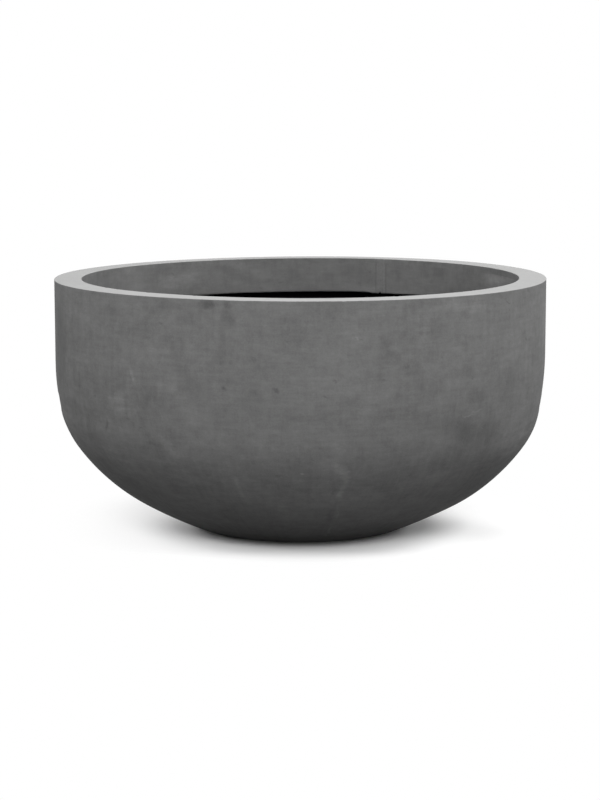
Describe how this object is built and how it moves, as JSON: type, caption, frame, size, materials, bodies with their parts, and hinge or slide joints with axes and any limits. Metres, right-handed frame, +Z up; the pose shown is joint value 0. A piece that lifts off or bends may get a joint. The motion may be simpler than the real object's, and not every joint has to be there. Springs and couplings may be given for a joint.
{
  "type": "bowl planter",
  "caption": "Wide round planter bowl in grey fibre cement: thick flat rim, grey inner band, black sealed inside, flat foot with a drain hole and a rubber stopper.",
  "frame": {"origin": "centre of the foot, on the ground", "axes": "+Z is up, along the bowl's axis of revolution; -Y faces the camera of the picture; the band's joint is at the back, 66.6 degrees from +X towards +Y"},
  "size_m": [0.9149, 0.915, 0.467],
  "materials": {
    "fibre_cement": "matt, cloudy, lightly trowelled",
    "fibre_cement_band": "matt, cloudy",
    "fibre_cement_strip": "matt, cloudy",
    "black_coat": "matt black sealing coat",
    "stopper_rubber": "matt moulded rubber"
  },
  "bodies": {
    "planter": {"bowl_shell": "fibre_cement", "inner_band": "fibre_cement_band", "band_joint_strip": "fibre_cement_strip", "sealing_coat": "black_coat"},
    "stopper": {"drain_stopper": "stopper_rubber"}
  },
  "joints": [
    {"name": "stopper_lift", "type": "slide", "parent": "planter", "child": "stopper", "axis": [0, 0, 1], "range_m": [0, 0.48]}
  ]
}
